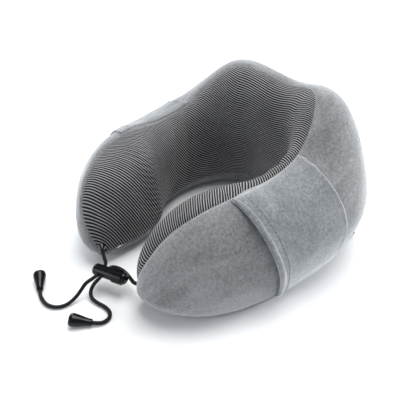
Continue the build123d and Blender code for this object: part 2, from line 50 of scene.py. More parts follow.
# ---------------------------------------------------------------- camera and cords
CAMERA_AZIMUTH = 46.85      # degrees; 0 looks along +Y
CAMERA_RISE = 33.32
CAMERA_DISTANCE = 0.5275
CAMERA_TARGET = Vector((0, -0.0026, 0.060))
CAMERA_LENS = 43.0          # millimetres
CAMERA_SENSOR = 36.0
CAMERA_SHIFT = (-0.0286, -0.0743)


def make_camera():
    camera = bpy.data.objects.new("camera", bpy.data.cameras.new("camera"))
    scene.collection.objects.link(camera)
    around, rise = radians(CAMERA_AZIMUTH), radians(CAMERA_RISE)
    away = Vector((sin(around) * cos(rise), -cos(around) * cos(rise), sin(rise)))
    camera.location = CAMERA_TARGET + CAMERA_DISTANCE * away
    camera.rotation_euler = away.to_track_quat("Z", "Y").to_euler()
    camera.data.lens = CAMERA_LENS
    camera.data.sensor_width = CAMERA_SENSOR
    camera.data.shift_x, camera.data.shift_y = CAMERA_SHIFT
    camera.data.clip_start = 0.01
    scene.camera = camera


make_camera()

LOCK_CENTRE = Vector((1.0, -146.1, 19.0)) * MM
LOCK_TURN = radians(22.8)
LOCK_AXIS = Vector((cos(LOCK_TURN), sin(LOCK_TURN), 0))
LOCK_BACK = Vector((-LOCK_AXIS.y, LOCK_AXIS.x, 0))
CORD_PLACES = (-10.3, -5.8)
CORD_DIAMETER = 3.6 * MM
SPRING_RADIUS = 4.35          # the lock's spring, in millimetres, as in part.py
SPRING_WIRE = 0.35
SPRING_CLEARANCE = 0.05
SPRING_TURNS = 5
SPRING_ROOM = 13.0            # from the barrel's shoulder to the inside of the plunger's head
NOSE_MIDDLE = Vector((31.671, -134.343, 20.0)) * MM


def lock_point(along, back, rise):
    return LOCK_CENTRE + (LOCK_AXIS * along + LOCK_BACK * back + Vector((0, 0, rise))) * MM


def floor_point(x, y, z):
    return Vector((x, y, z)) * MM


LEFT_ROUTE = [
    Vector((-NOSE_MIDDLE.x, NOSE_MIDDLE.y, NOSE_MIDDLE.z)),
    floor_point(-26.7, -136.4, 19.6),
    floor_point(-21.3, -138.6, 18.4),
    lock_point(CORD_PLACES[0], 8.8, 0),
    lock_point(CORD_PLACES[0], -9.4, 0),
    floor_point(-9.2, -166.8, 14.4),
    floor_point(-8.2, -173.2, 9.6),
    floor_point(-7.8, -179.6, 5.4),
    floor_point(-7.8, -186.4, 2.8),
    floor_point(-9.6, -193.4, 1.9),
    floor_point(-14.2, -199.2, 1.9),
    floor_point(-21.4, -202.4, 1.9),
    floor_point(-29.6, -202.4, 2.0),
    floor_point(-36.4, -201.1, 2.5),
    floor_point(-41.5, -198.5, 3.4),
]
PRESS_ROOM = 0.3      # keeps the right cord clear of the pressed plunger's slot
RIGHT_ROUTE = [
    NOSE_MIDDLE,
    lock_point(28.2, -1.2, 0.2),
    lock_point(23.6, 1.6, -2.8),
    lock_point(18.0, 6.4, -5.6),
    lock_point(11.0, 10.8, -5.8),
    lock_point(3.0, 12.2, -2.8),
    lock_point(CORD_PLACES[1] - PRESS_ROOM, 9.0, 0),
    lock_point(CORD_PLACES[1] - PRESS_ROOM, -9.4, 0),
    floor_point(-4.6, -162.4, 11.8),
    floor_point(-3.4, -167.0, 6.0),
    floor_point(2.0, -168.8, 3.0),
    floor_point(9.8, -167.0, 2.1),
    floor_point(17.6, -164.6, 1.9),
    floor_point(24.8, -164.4, 1.9),
    floor_point(30.4, -167.4, 1.9),
    floor_point(32.6, -173.2, 2.0),
    floor_point(31.0, -179.2, 2.4),
    floor_point(26.6, -183.4, 3.35),
]


# ---------------------------------------------------------------- materials
class Graph:
    """Short calls for making a material's nodes."""

    def __init__(self, name):
        self.material = bpy.data.materials.new(name)
        self.material.use_nodes = True
        self.nodes = self.material.node_tree.nodes
        self.shader = self.nodes["Principled BSDF"]

    def link(self, value, socket):
        if hasattr(value, "is_output"):
            self.material.node_tree.links.new(value, socket)
        else:
            socket.default_value = value

    def node(self, kind, inputs=(), **settings):
        made = self.nodes.new("ShaderNode" + kind)
        for name, value in settings.items():
            setattr(made, name, value)
        for name, value in dict(inputs).items():
            self.link(value, made.inputs[name])
        return made

    def math(self, operation, first, second=0.0, third=0.0):
        made = self.node("Math", operation=operation)
        for place, value in enumerate((first, second, third)):
            self.link(value, made.inputs[place])
        return made.outputs[0]

    def noise(self, vector, scale, detail=2.0, roughness=0.5, distortion=0.0):
        made = self.node("TexNoise", {"Vector": vector, "Scale": scale, "Detail": detail,
                                      "Roughness": roughness, "Distortion": distortion})
        return made.outputs["Fac"]

    def place(self):
        return self.node("TexCoord").outputs["Object"]

    def cloth(self, stretch=(1, 1, 1)):
        uv = self.node("UVMap", uv_map="cloth").outputs["UV"]
        return self.node("Mapping", {"Vector": uv, "Scale": stretch}).outputs["Vector"]

    def ramp(self, value, *stops):
        """Colour between two stops, each a place and a colour."""
        made = self.node("ValToRGB", {"Fac": value})
        elements = made.color_ramp.elements
        for element, (place, colour) in zip(elements, stops):
            element.position = place
            element.color = (*colour, 1)
        return made.outputs["Color"]

    def mix(self, factor, first, second):
        made = self.node("Mix", data_type="RGBA")
        colours = [socket for socket in made.inputs if socket.type == "RGBA"]
        self.link(factor, made.inputs["Factor"])
        for value, socket in zip((first, second), colours):
            self.link(value if hasattr(value, "is_output") else (*value, 1), socket)
        return next(socket for socket in made.outputs if socket.type == "RGBA")

    def bump(self, height, distance, strength):
        made = self.node("Bump", {"Height": height, "Distance": distance, "Strength": strength})
        return made.outputs["Normal"]

    def finish(self, colour, normal=None, **sockets):
        self.link(colour if hasattr(colour, "is_output") else (*colour, 1),
                  self.shader.inputs["Base Color"])
        if normal:
            self.link(normal, self.shader.inputs["Normal"])
        for name, value in sockets.items():
            self.link(value, self.shader.inputs[name.replace("_", " ")])
        return self.material


def velour(name, dark, pale):
    """Short-napped cloth: brushed patches, fine speckle and a soft sheen at its edges."""
    g = Graph(name)
    strokes = g.noise(g.cloth((0.55, 1.0, 1.0)), 34, 5, 0.62, 1.2)
    patches = g.noise(g.place(), 11, 3, 0.5)
    mottle = g.noise(g.place(), 420, 3, 0.7)
    fibres = g.noise(g.place(), 1500, 3, 0.7)
    nap = g.math("MULTIPLY_ADD", strokes, 0.28, g.math("MULTIPLY", patches, 0.22))
    nap = g.math("MULTIPLY_ADD", mottle, 0.36, nap)
    nap = g.math("MULTIPLY_ADD", fibres, 0.14, nap)
    colour = g.ramp(nap, (0.42, dark), (0.58, pale))
    pile = g.math("MULTIPLY_ADD", mottle, 0.8, fibres)
    normal = g.bump(pile, 0.0004, 0.55)
    return g.finish(colour, normal, Roughness=0.95, Sheen_Weight=1.0, Sheen_Roughness=0.38,
                    Sheen_Tint=(0.95, 0.975, 1.0, 1.0), Specular_IOR_Level=0.15)


RIB_PITCH = 2.4 * MM
LOOP_PITCH = 0.0011


def ribbed_knit():
    """Fine black and pale ribs that follow the cloth's own coordinates."""
    g = Graph("ribbed_knit")
    split = g.node("SeparateXYZ", {"Vector": g.cloth()})
    waver = g.math("MULTIPLY", g.noise(g.place(), 55, 2), 0.0007)
    across = g.math("ADD", split.outputs["X"], waver)
    turn = g.math("MULTIPLY", across, 2 * pi / RIB_PITCH)
    rib = g.math("MULTIPLY_ADD", g.math("SINE", turn), 0.5, 0.5)
    loops = g.math("SINE", g.math("MULTIPLY", split.outputs["Y"], 2 * pi / LOOP_PITCH))
    yarn = g.math("MULTIPLY_ADD", loops, 0.05, rib)
    fuzz = g.noise(g.place(), 1900, 2, 0.6)
    yarn = g.math("MULTIPLY_ADD", g.math("SUBTRACT", fuzz, 0.5), 0.16, yarn)
    wear = g.noise(g.place(), 16, 3)
    pale = g.ramp(wear, (0.35, (0.25, 0.25, 0.257)), (0.68, (0.38, 0.38, 0.39)))
    black = g.ramp(wear, (0.3, (0.005, 0.005, 0.006)), (0.7, (0.010, 0.010, 0.012)))
    share = g.node("MapRange", {"Value": yarn, "From Min": 0.58, "From Max": 0.76},
                   interpolation_type="SMOOTHSTEP").outputs["Result"]
    colour = g.mix(share, black, pale)
    height = g.math("MULTIPLY_ADD", loops, 0.12, rib)
    normal = g.bump(height, 0.00055, 0.7)
    return g.finish(colour, normal, Roughness=0.9, Sheen_Weight=0.05, Sheen_Roughness=0.5,
                    Specular_IOR_Level=0.15)


def woven(name, dark, pale, pitch):
    """Plain weave for tapes, linings and ribbon."""
    g = Graph(name)
    turn = 2 * pi / pitch
    split = g.node("SeparateXYZ", {"Vector": g.place()})
    flat = g.math("ADD", split.outputs["X"], split.outputs["Y"])
    warp = g.math("SINE", g.math("MULTIPLY", flat, turn))
    weft = g.math("SINE", g.math("MULTIPLY", split.outputs["Z"], turn * 1.4))
    weave = g.math("MULTIPLY_ADD", g.math("MULTIPLY", warp, weft), 0.5, 0.5)
    speckle = g.noise(g.place(), 900, 2)
    colour = g.ramp(g.math("MULTIPLY_ADD", speckle, 0.5, g.math("MULTIPLY", weave, 0.5)),
                    (0.25, dark), (0.75, pale))
    return g.finish(colour, g.bump(weave, 0.0002, 0.8), Roughness=0.85, Specular_IOR_Level=0.25)


def black_braid():
    g = Graph("black_braid")
    fuzz = g.noise(g.place(), 2600, 3, 0.7)
    colour = g.ramp(fuzz, (0.3, (0.002, 0.002, 0.003)), (0.75, (0.016, 0.016, 0.018)))
    return g.finish(colour, g.bump(fuzz, 0.00012, 0.6), Roughness=0.58, Sheen_Weight=0.03,
                    Sheen_Roughness=0.4, Specular_IOR_Level=0.18)


def moulded_black():
    g = Graph("moulded_black")
    drawn = g.node("Mapping", {"Vector": g.place(), "Scale": (1, 1, 4)}).outputs["Vector"]
    scuffs = g.noise(drawn, 380, 4, 0.7)
    gloss = g.node("MapRange", {"Value": scuffs, "From Min": 0.35, "From Max": 0.75,
                                "To Min": 0.16, "To Max": 0.34}).outputs["Result"]
    colour = g.ramp(scuffs, (0.3, (0.001, 0.001, 0.002)), (0.8, (0.006, 0.006, 0.007)))
    return g.finish(colour, g.bump(g.noise(g.place(), 160, 3), 0.00008, 0.5), Roughness=gloss,
                    Specular_IOR_Level=0.24, Coat_Weight=0.05, Coat_Roughness=0.12)


def dark_metal():
    g = Graph("dark_metal")
    scuffs = g.noise(g.place(), 520, 4, 0.7)
    colour = g.ramp(scuffs, (0.35, (0.030, 0.031, 0.034)), (0.80, (0.095, 0.096, 0.10)))
    gloss = g.node("MapRange", {"Value": scuffs, "To Min": 0.25, "To Max": 0.5}).outputs["Result"]
    return g.finish(colour, g.bump(scuffs, 0.00003, 0.5), Roughness=gloss, Metallic=0.85)


def drawn_steel():
    g = Graph("drawn_steel")
    lines = g.noise(g.place(), 900, 3)
    colour = g.ramp(lines, (0.3, (0.36, 0.36, 0.37)), (0.7, (0.55, 0.55, 0.56)))
    return g.finish(colour, g.bump(lines, 0.00002, 0.5), Roughness=0.3, Metallic=1.0)


def grey_nylon():
    g = Graph("grey_nylon")
    speckle = g.noise(g.place(), 1400, 3)
    colour = g.ramp(speckle, (0.3, (0.17, 0.175, 0.185)), (0.7, (0.26, 0.265, 0.275)))
    return g.finish(colour, g.bump(speckle, 0.00003, 0.5), Roughness=0.42)


def open_foam():
    g = Graph("open_foam")
    cells = g.node("TexVoronoi", {"Vector": g.place(), "Scale": 900.0}).outputs["Distance"]
    colour = g.ramp(cells, (0.1, (0.52, 0.47, 0.34)), (0.6, (0.80, 0.76, 0.62)))
    return g.finish(colour, g.bump(cells, 0.0003, 0.7), Roughness=0.95)


def plain_floor():
    g = Graph("plain_floor")
    grain = g.noise(g.place(), 40, 3)
    colour = g.ramp(grain, (0.3, (0.86, 0.865, 0.875)), (0.7, (0.875, 0.88, 0.89)))
    return g.finish(colour, Roughness=0.75, Specular_IOR_Level=0.15)


OUTER_CLOTH = velour("outer_velour", (0.128, 0.131, 0.136), (0.262, 0.267, 0.275))
POCKET_CLOTH = velour("pocket_velour", (0.136, 0.144, 0.153), (0.270, 0.283, 0.298))
KNIT = ribbed_knit()
LINER = woven("liner_cloth", (0.62, 0.62, 0.60), (0.80, 0.80, 0.78), 1.4 * MM)
TAPE = woven("zip_tape", (0.11, 0.115, 0.12), (0.20, 0.205, 0.215), 0.9 * MM)
RIBBON = woven("label_ribbon", (0.66, 0.66, 0.65), (0.84, 0.84, 0.83), 0.7 * MM)
THREAD = woven("grey_thread", (0.13, 0.135, 0.14), (0.24, 0.245, 0.255), 0.5 * MM)
BRAID = black_braid()
PLASTIC = moulded_black()
METAL = dark_metal()
STEEL = drawn_steel()
NYLON = grey_nylon()
FOAM = open_foam()


# ---------------------------------------------------------------- shape, in millimetres
BACK_Y = 94.4
SPINE_RADII = [96.0, 148.0, 110.0]
SPINE_TURNS = [69.0, 42.0, 45.0]
END_CROWDING = 1.7
HEIGHT = [142, 152, 116, 106, 108, 104, 94, 71, 27]
RIDGE_OUT = [6, 7, -9, -15, -14, -12, -9, -2, 0]
OUTER_HALF = [50, 50, 50, 34, 29, 29, 24, 16, 4.5]
OUTER_RISE = [60, 60, 60, 56, 44, 32, 27, 25, 20]
INNER_HALF = [29, 30, 34, 44, 54, 57, 46, 27, 4]
INNER_RISE = [76, 75, 66, 53, 42, 32, 25, 21, 20]
BASE_RISE = [0, 0, 0, 0, 0, 1, 4, 8, 13]
BASE_OUT = [14, 14, 14, 14, 14, 12, 9, 5, 1]
BASE_IN = [4, 5, 10, 16, 20, 21, 17, 10, 1]
POWER_OUTER_TOP = (1.75, 2.25)
POWER_OUTER_LOW = (1.6, 1.6)
POWER_INNER_LOW = (1.7, 3.0)
POWER_INNER_TOP = (3.3, 2.7)
TOP_SEAM = [-0.06, -0.13, -0.08, -0.06, 0.0, 0.10, 0.32, 0.64, 0.70]
OUTER_BASE_SEAM = 1.67
INNER_BASE_SEAM = [3.42, 3.42, 3.42, 3.40, 3.42, 3.56, 3.74, 3.82, 3.82]
CLOTH_THICK = 1.4


def blend(values, station):
    """A smooth curve through values that are evenly spaced over 0 to 1."""
    last = len(values) - 1
    place = min(max(station, 0.0), 1.0) * last
    first = min(int(place), last - 1)
    f = place - first
    padded = [values[1], *values, 2 * values[-1] - values[-2]]
    before, start, end, after = padded[first:first + 4]
    slope_start = (end - before) / 2
    slope_end = (after - start) / 2
    return ((2 * f**3 - 3 * f**2 + 1) * start + (f**3 - 2 * f**2 + f) * slope_start
            + (3 * f**2 - 2 * f**3) * end + (f**3 - f**2) * slope_end)


SPINE_LENGTHS = [radius * radians(turn) for radius, turn in zip(SPINE_RADII, SPINE_TURNS)]


def spine_at(station):
    """Place and heading of the +X arm's centre line, and the length from the middle of the back."""
    along = (1 - (1 - station) ** END_CROWDING) * sum(SPINE_LENGTHS)
    x, y, heading, left = 0.0, BACK_Y, 0.0, along
    for radius, length in zip(SPINE_RADII, SPINE_LENGTHS):
        centre_x = x + radius * sin(heading)
        centre_y = y - radius * cos(heading)
        heading -= min(left, length) / radius
        x = centre_x - radius * sin(heading)
        y = centre_y + radius * cos(heading)
        left = max(left - length, 0.0)
    return x, y, heading, along


class Section:
    """The pillow's section at one station, with its values worked out once."""
    made = {}

    def __init__(self, station):
        self.x, self.y, self.heading, self.along = spine_at(station)
        self.base = blend(BASE_RISE, station)
        self.out, self.inn = blend(BASE_OUT, station), -blend(BASE_IN, station)
        self.ridge, self.height = blend(RIDGE_OUT, station), blend(HEIGHT, station)
        self.wide = {True: blend(OUTER_HALF, station), False: -blend(INNER_HALF, station)}
        self.rise = {True: blend(OUTER_RISE, station), False: blend(INNER_RISE, station)}
        self.power = {key: start + (end - start) * station for key, (start, end) in {
            (True, True): POWER_OUTER_TOP, (True, False): POWER_OUTER_LOW,
            (False, False): POWER_INNER_LOW, (False, True): POWER_INNER_TOP}.items()}

    @classmethod
    def at(cls, station):
        key = round(station, 6)
        if key not in cls.made:
            cls.made[key] = cls(station)
        return cls.made[key]

    def point(self, way):
        """A point of the cover's outer face.

        Way 0 is the ridge, 1 widest outside, 2 to 3 the base and 4 widest inside."""
        way = way % 5
        if 2 <= way <= 3:
            return self.place(self.out + (self.inn - self.out) * (way - 2), self.base)
        outside, high = way < 2, way < 1 or way > 4
        power = self.power[outside, high]
        turn = way * pi / 2 if outside else (way - 1) * pi / 2
        middle = self.ridge if high else (self.out if outside else self.inn)
        end = self.height if high else self.base
        across = abs(sin(turn)) ** (2 / power)
        along = abs(cos(turn)) ** (2 / power)
        rise = self.rise[outside]
        return self.place(middle + (self.wide[outside] - middle) * across,
                          rise + (end - rise) * along)

    def place(self, u, z):
        return Vector((self.x - u * sin(self.heading), self.y + u * cos(self.heading), z))


def skin_point(station, way):
    """A point of the cover; negative stations are the -X arm."""
    point = Section.at(abs(station)).point(way)
    return Vector((-point.x, point.y, point.z)) if station < 0 else point


def skin_normal(station, way):
    step_way, step_station = 0.03, 0.004
    low, high = max(station - step_station, -1), min(station + step_station, 1)
    if abs(station) > 0.97:
        low, high = (0.965, 0.985) if station > 0 else (-0.985, -0.965)
    round_it = skin_point(station, way + step_way) - skin_point(station, way - step_way)
    along_it = skin_point(high, way) - skin_point(low, way)
    return along_it.cross(round_it).normalized()


def signed_along(station):
    """Length from the middle of the back along the centre line, negative on the -X arm."""
    return Section.at(abs(station)).along * (1 if station >= 0 else -1)


def eased(value):
    """0 up to 0, 1 from 1, and a smooth step between them."""
    share = min(max(value, 0), 1)
    return share * share * (3 - 2 * share)


# ---------------------------------------------------------------- softness of the cloth
def bell(value, width):
    return exp(-(value / width) ** 2)


def soft_waves(point):
    """Slow unevenness of stuffed cloth, in millimetres."""
    seed = Vector((3.1, 7.7, 1.3))
    return (1.1 * noise.noise(point / 46 + seed) + 0.45 * noise.noise(point / 17 + seed)
            + 0.12 * noise.noise(point / 6 + seed))


def seam_dip(gap, along, seed):
    """How a panel turns down to its seam, and puckers beside it."""
    pucker = noise.noise(Vector((along / 7.5, seed, 0.0))) * exp(-gap / 7) * 0.6
    return -1.5 * exp(-(gap / 2.2) ** 1.5) - 0.7 * exp(-gap / 9) + pucker


DEEPEST = 2.2               # a panel sinks no further, so that the lining stays under it
FLAT_RISE = 0.5             # up to this height the base lies flat on the floor


def held_out(rise):
    """The rise, eased so that it never passes the deepest that the filling lets cloth sink."""
    return rise if rise > -1 else -1 - (DEEPEST - 1) * (1 - exp((rise + 1) / (DEEPEST - 1)))


def grid_mesh(name, rows, uvs, material, thick):
    """A cloth panel from rows of (outer point, outward direction), closed by an inner face."""
    count = len(rows[0])
    points, faces = [], []
    for row in rows:
        points += [point * MM for point, out in row]
    for row in rows:
        points += [(point - out * thick) * MM for point, out in row]
    inner = len(rows) * count
    for i in range(len(rows) - 1):
        for j in range(count - 1):
            a = i * count + j
            faces.append((a, a + 1, a + count + 1, a + count))
            faces.append((inner + a, inner + a + count, inner + a + count + 1, inner + a + 1))
    rim = list(range(count))
    rim += [i * count + count - 1 for i in range(1, len(rows))]
    rim += [(len(rows) - 1) * count + j for j in range(count - 2, -1, -1)]
    rim += [i * count for i in range(len(rows) - 2, 0, -1)]
    for a, b in zip(rim, rim[1:] + rim[:1]):
        faces.append((a, inner + a, inner + b, b))
    mesh = bpy.data.meshes.new(name)
    mesh.from_pydata(points, [], faces)
    layer = mesh.uv_layers.new(name="cloth")
    flat = [uv for row in uvs for uv in row]
    for loop in mesh.loops:
        u, v = flat[loop.vertex_index % inner]
        layer.data[loop.index].uv = (u * MM, v * MM)
    mesh.materials.append(material)
    mesh.polygons.foreach_set("use_smooth", [True] * len(mesh.polygons))
    mesh.update()
    return add_piece(name, mesh)


def add_piece(name, mesh):
    piece = bpy.data.objects.new(name, mesh)
    scene.collection.objects.link(piece)
    return piece


def solid_piece(name, points, faces, material):
    """A smooth-shaded piece of one material, from points in metres."""
    mesh = bpy.data.meshes.new(name)
    mesh.from_pydata(points, [], faces)
    mesh.materials.append(material)
    mesh.polygons.foreach_set("use_smooth", [True] * len(mesh.polygons))
    return add_piece(name, mesh)


def tube_faces(rings, ring, flipped=False, start=0):
    """Faces of a tube through rings of points, closed at both ends."""
    faces = []
    for i in range(rings - 1):
        for k in range(ring):
            a, b = start + i * ring + k, start + i * ring + (k + 1) % ring
            faces.append((a, a + ring, b + ring, b) if flipped else (a, b, b + ring, a + ring))
    first = tuple(range(start, start + ring))
    last = tuple(start + (rings - 1) * ring + k for k in range(ring))
    return faces + ([first, last[::-1]] if flipped else [first[::-1], last])


def span(first, last, count):
    return [first + (last - first) * i / (count - 1) for i in range(count)]


ARM_ROWS = 92
STATIONS = [-s for s in span(1, 0, ARM_ROWS)][:-1] + span(0, 1, ARM_ROWS)
# Each ring that closes a nose: its share of the panel's last ring, and how far it bulges.
NOSE_CLOSE = [(0.80, 0.9), (0.58, 1.3), (0.40, 1.2), (0.26, 0.6)]
NOSE_INWARDS, NOSE_FORWARDS = 0.9135, -0.4067     # the way that each nose points


def row_lengths(points):
    total, lengths = 0.0, [0.0]
    for a, b in zip(points, points[1:]):
        total += (b - a).length
        lengths.append(total)
    return lengths


def cover_panel(name, way_from, way_to, across, material, displace, cloth_uv):
    """One panel of the cover, from nose to nose, drawn in at each nose round the cord."""
    rows, uvs = [], []
    for station in STATIONS:
        start, end = way_from(abs(station)), way_to(abs(station))
        # Columns crowd towards both seams, where the cloth turns fastest.
        turns = [cos(pi * t) for t in span(0, 1, across)]
        ways = [start + (end - start) * (0.5 - 0.5 * turn * (1 - 0.35 * (1 - abs(turn))))
                for turn in turns]
        skin = [skin_point(station, way) for way in ways]
        lengths = row_lengths(skin)
        along = signed_along(station)
        row = []
        for way, point, length in zip(ways, skin, lengths):
            out = skin_normal(station, way)
            rise = displace(station, way, point, along, length, lengths[-1] - length)
            row.append((point + out * rise, out))
        rows.append(row)
        uvs.append(cloth_uv(station, lengths, ways, skin))
    for side in (-1, 1):
        ring = rows[0] if side < 0 else rows[-1]
        ring_uv = uvs[0] if side < 0 else uvs[-1]
        middle = Vector((side * NOSE_MIDDLE.x, NOSE_MIDDLE.y, NOSE_MIDDLE.z)) / MM
        ahead = Vector((-side * NOSE_INWARDS, NOSE_FORWARDS, 0))
        caps = []
        for share, bulge in NOSE_CLOSE:
            caps.append([(middle + (point - middle) * share + ahead * bulge,
                          (out * share + ahead * (1 - share)).normalized()) for point, out in ring])
        if side < 0:
            rows = caps[::-1] + rows
            uvs = [ring_uv] * len(caps) + uvs
        else:
            rows = rows + caps
            uvs = uvs + [ring_uv] * len(caps)
    return grid_mesh(name, rows, uvs, material, CLOTH_THICK)


ZIP_END = 0.225             # station where the opening for the zip starts to close
ZIP_CLOSE = 0.02            # stations that it takes to close
ZIP_WAY = 1.61
ZIP_HALF_GAP = 0.085        # ways from the zip's middle to each edge
WAY_STEP = 0.06             # half the span of ways that a slope is measured over


def base_edge(side):
    """The panel's edge at the base, which opens for the zip round the back."""
    def edge(station):
        plain = OUTER_BASE_SEAM + side * 0.002
        share = eased((station - ZIP_END) / ZIP_CLOSE)
        return (ZIP_WAY + side * ZIP_HALF_GAP) * (1 - share) + plain * share
    return edge


def outer_shape(station, way, point, along, from_top, from_base):
    rise = soft_waves(point) + seam_dip(from_top, along, 1.0) + seam_dip(from_base, along, 5.0)
    return held_out(rise)


# Place, width, depth in millimetres, and how far it leans along the arm over 100 mm.
FOLDS = [(0.285, 0.012, -2.6, 0.02), (0.262, 0.010, 1.3, 0.0), (0.312, 0.014, 1.5, 0.03),
         (0.340, 0.012, -1.2, 0.05), (0.236, 0.010, -1.0, -0.02)]


def inner_shape(station, way, point, along, from_base, from_top):
    rise = soft_waves(point) + seam_dip(from_top, along, 1.0) + seam_dip(from_base, along, 9.0)
    # Folds where the raised back meets each arm: the cloth is pinched between two bulges.
    s = abs(station)
    depth = exp(-from_top / 55) * (1 - exp(-from_top / 7))
    for place, width, amount, lean in FOLDS:
        middle = place + lean * from_top / 100
        rise += amount * bell(s - middle, width) * depth
    return held_out(rise)


def base_shape(station, way, point, along, from_outer, from_inner):
    side = seam_dip(from_outer, along, 5.0) + seam_dip(from_inner, along, 9.0)
    if point.z <= FLAT_RISE:
        return side * 0.1
    # It keeps its flat on the floor, and only its free parts are uneven.
    free = min(1.0, max(0.0, (point.z - 1.0) / 6))
    return (side + soft_waves(point)) * (0.15 + 0.85 * free)


RIB_LEAN = 0.62              # share of the arm's own turn that the ribs lean by
RIB_LEAN_MOST = radians(67)
RIB_DRAW = 0.5               # how much the ribs are drawn outwards over the top of each nose
RIB_PLANE_FROM, RIB_PLANE_TO = 0.45, 0.85
RIB_EASE = radians(6)
RIB_STEPS = 240
WIDEST_INSIDE = 4.0


def rib_lean(station):
    """How far the ribs lean from level: not at all at the back, and steadily more along the arm."""
    turn = -Section.at(station).heading * RIB_LEAN
    return turn - RIB_EASE * log(1 + exp((turn - RIB_LEAN_MOST) / RIB_EASE))


def rib_drift():
    """Running rib coordinates of the line along the widest part of the inner face."""
    across, along, table = 0.0, 0.0, []
    previous = skin_point(0.0, WIDEST_INSIDE)
    for step in range(RIB_STEPS + 1):
        station = step / RIB_STEPS
        here = skin_point(station, WIDEST_INSIDE)
        flat, climb = hypot(here.x - previous.x, here.y - previous.y), here.z - previous.z
        lean = rib_lean(station)
        across += climb * cos(lean) - flat * sin(lean)
        along += flat * cos(lean) + climb * sin(lean)
        previous = here
        table.append((across, along))
    return table


RIB_DRIFT = rib_drift()


def rib_uv(station, lengths, ways, skin):
    """Coordinates across and along the ribs, for one row of the inner face.

    Round the back the ribs follow the cloth. Near each nose it is stretched tight, and they run
    straight, as if cut by planes."""
    s = abs(station)
    place = s * RIB_STEPS
    first = min(int(place), RIB_STEPS - 1)
    f = place - first
    across, along = (a + (b - a) * f for a, b in zip(RIB_DRIFT[first], RIB_DRIFT[first + 1]))
    k = max(i for i, way in enumerate(ways) if way <= WIDEST_INSIDE)
    part = (WIDEST_INSIDE - ways[k]) / (ways[k + 1] - ways[k])
    middle = lengths[k] + (lengths[k + 1] - lengths[k]) * part
    lean = rib_lean(s)
    tight = eased((s - RIB_PLANE_FROM) / (RIB_PLANE_TO - RIB_PLANE_FROM))
    widest, heading = skin_point(station, WIDEST_INSIDE), Section.at(s).heading
    outwards = Vector((-sin(heading) * (1 if station >= 0 else -1), cos(heading), 0))
    made = []
    for length, point in zip(lengths, skin):
        climb = (length - middle) * (1 - tight) + (point.z - widest.z) * tight
        drawn = (point - widest).dot(outwards) * RIB_DRAW * tight
        made.append((across + climb * cos(lean) - drawn, along + (length - middle) * sin(lean)))
    return made


def plain_uv(station, lengths, ways, skin):
    return [(signed_along(station), length) for length in lengths]


SEAM_RADIUS = 0.55
SEAM_RING = 6
SEAM_SUNK = 0.55            # below the cloth beside it


def seam_thread(name, way_at, material):
    """The seam: a sunken line of cloth edge and thread that closes the joint of two panels."""
    points, line = [], []
    for station in STATIONS:
        way = way_at(abs(station))
        point, out = skin_point(station, way), skin_normal(station, way)
        along = signed_along(station)
        rise = held_out(soft_waves(point) + seam_dip(0.0, along, 1.0)) - SEAM_SUNK
        line.append((point + out * rise, out))
    for i, (point, out) in enumerate(line):
        ahead = (line[min(i + 1, len(line) - 1)][0] - line[max(i - 1, 0)][0]).normalized()
        sideways = ahead.cross(out).normalized()
        for k in range(SEAM_RING):
            turn = 2 * pi * k / SEAM_RING
            points.append((point + (sideways * cos(turn) + out * sin(turn)) * SEAM_RADIUS) * MM)
    piece = solid_piece(name, points, tube_faces(len(line), SEAM_RING, flipped=True), material)
    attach(piece, "root")


FACING_DEPTH = 2.4          # below the deepest that the cover sinks, and above the lining
FACING_THICK = 0.4
FACING_FROM = 4.8           # from the zip's middle, just clear of the slider
FACING_TO = 10.5
ZIP_TAB = (0.2195, 0.25)    # stations of the cloth tab past each end stop


def zip_way(station, across):
    """The way that lies this many millimetres across from the zip's middle."""
    run = skin_point(station, ZIP_WAY + WAY_STEP) - skin_point(station, ZIP_WAY - WAY_STEP)
    return ZIP_WAY + across * (2 * WAY_STEP) / run.length


def zip_facing(name, across_from, across_to, first, last, count):
    """A strip of cloth sewn under the zip's opening, so that the lining doesn't show."""
    rows, uvs = [], []
    for station in span(first, last, count):
        ways = span(zip_way(station, across_from), zip_way(station, across_to), 8)
        skin = [skin_point(station, way) for way in ways]
        rows.append([(point - skin_normal(station, way) * FACING_DEPTH, skin_normal(station, way))
                     for point, way in zip(skin, ways)])
        uvs.append(plain_uv(station, row_lengths(skin), ways, skin))
    piece = grid_mesh(name, rows, uvs, OUTER_CLOTH, FACING_THICK)
    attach(piece, "root")


def make_facings():
    zip_facing("zip_facing_upper", -FACING_TO, -FACING_FROM, -ZIP_TAB[1], ZIP_TAB[1], 90)
    zip_facing("zip_facing_lower", FACING_FROM, FACING_TO, -ZIP_TAB[1], ZIP_TAB[1], 90)
    zip_facing("zip_end_tab_right", -FACING_TO, FACING_TO, ZIP_TAB[0], ZIP_TAB[1], 12)
    zip_facing("zip_end_tab_left", -FACING_TO, FACING_TO, -ZIP_TAB[1], -ZIP_TAB[0], 12)


def make_cover():
    outer = cover_panel("outer_cover", lambda s: blend(TOP_SEAM, s) + 0.001, base_edge(-1), 64,
                        OUTER_CLOTH, outer_shape, plain_uv)
    inner = cover_panel("inner_cover", lambda s: blend(INNER_BASE_SEAM, s) + 0.001,
                        lambda s: 5 + blend(TOP_SEAM, s) - 0.001, 64, KNIT, inner_shape, rib_uv)
    base = cover_panel("base_cover", base_edge(1), lambda s: blend(INNER_BASE_SEAM, s) - 0.001, 44,
                       OUTER_CLOTH, base_shape, plain_uv)
    for piece, node, slot in ((outer, "outer_panel", "outer_velour"),
                              (inner, "inner_panel", "ribbed_knit"),
                              (base, "base_panel", "outer_velour")):
        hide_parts(node)
        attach(piece, "root")
    seam_thread("seam_top", lambda s: blend(TOP_SEAM, s), OUTER_CLOTH)
    seam_thread("seam_inner_base", lambda s: blend(INNER_BASE_SEAM, s), OUTER_CLOTH)


